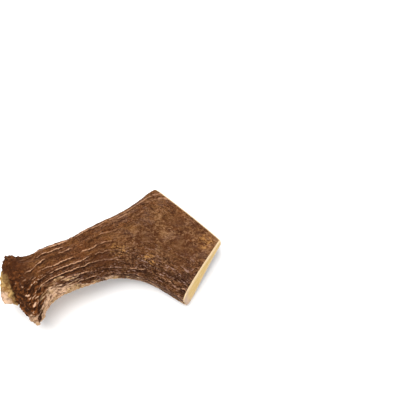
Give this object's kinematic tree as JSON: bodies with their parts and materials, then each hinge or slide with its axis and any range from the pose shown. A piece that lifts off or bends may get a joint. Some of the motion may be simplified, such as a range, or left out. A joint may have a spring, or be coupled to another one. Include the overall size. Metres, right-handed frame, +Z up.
{
  "type": "moose antler",
  "caption": "Sawn base of a shed moose antler: rough seal and knobbed burr, ridged round beam and the start of the flat palm, ended by two straight saw cuts.",
  "frame": {"origin": "centre of the piece's box, at the height of the surface that it lies on", "axes": "+X along the antler from the burr to the palm, +Y towards the palm's thin back edge, +Z up from the surface through the broad face"},
  "size_m": [0.2031, 0.1403, 0.0552],
  "materials": {
    "antler": "rough brown antler bone, matte on the ridges and slightly waxy in the grooves, with pale ivory sawn faces"
  },
  "bodies": {
    "root": {"antler": "antler"}
  },
  "joints": []
}
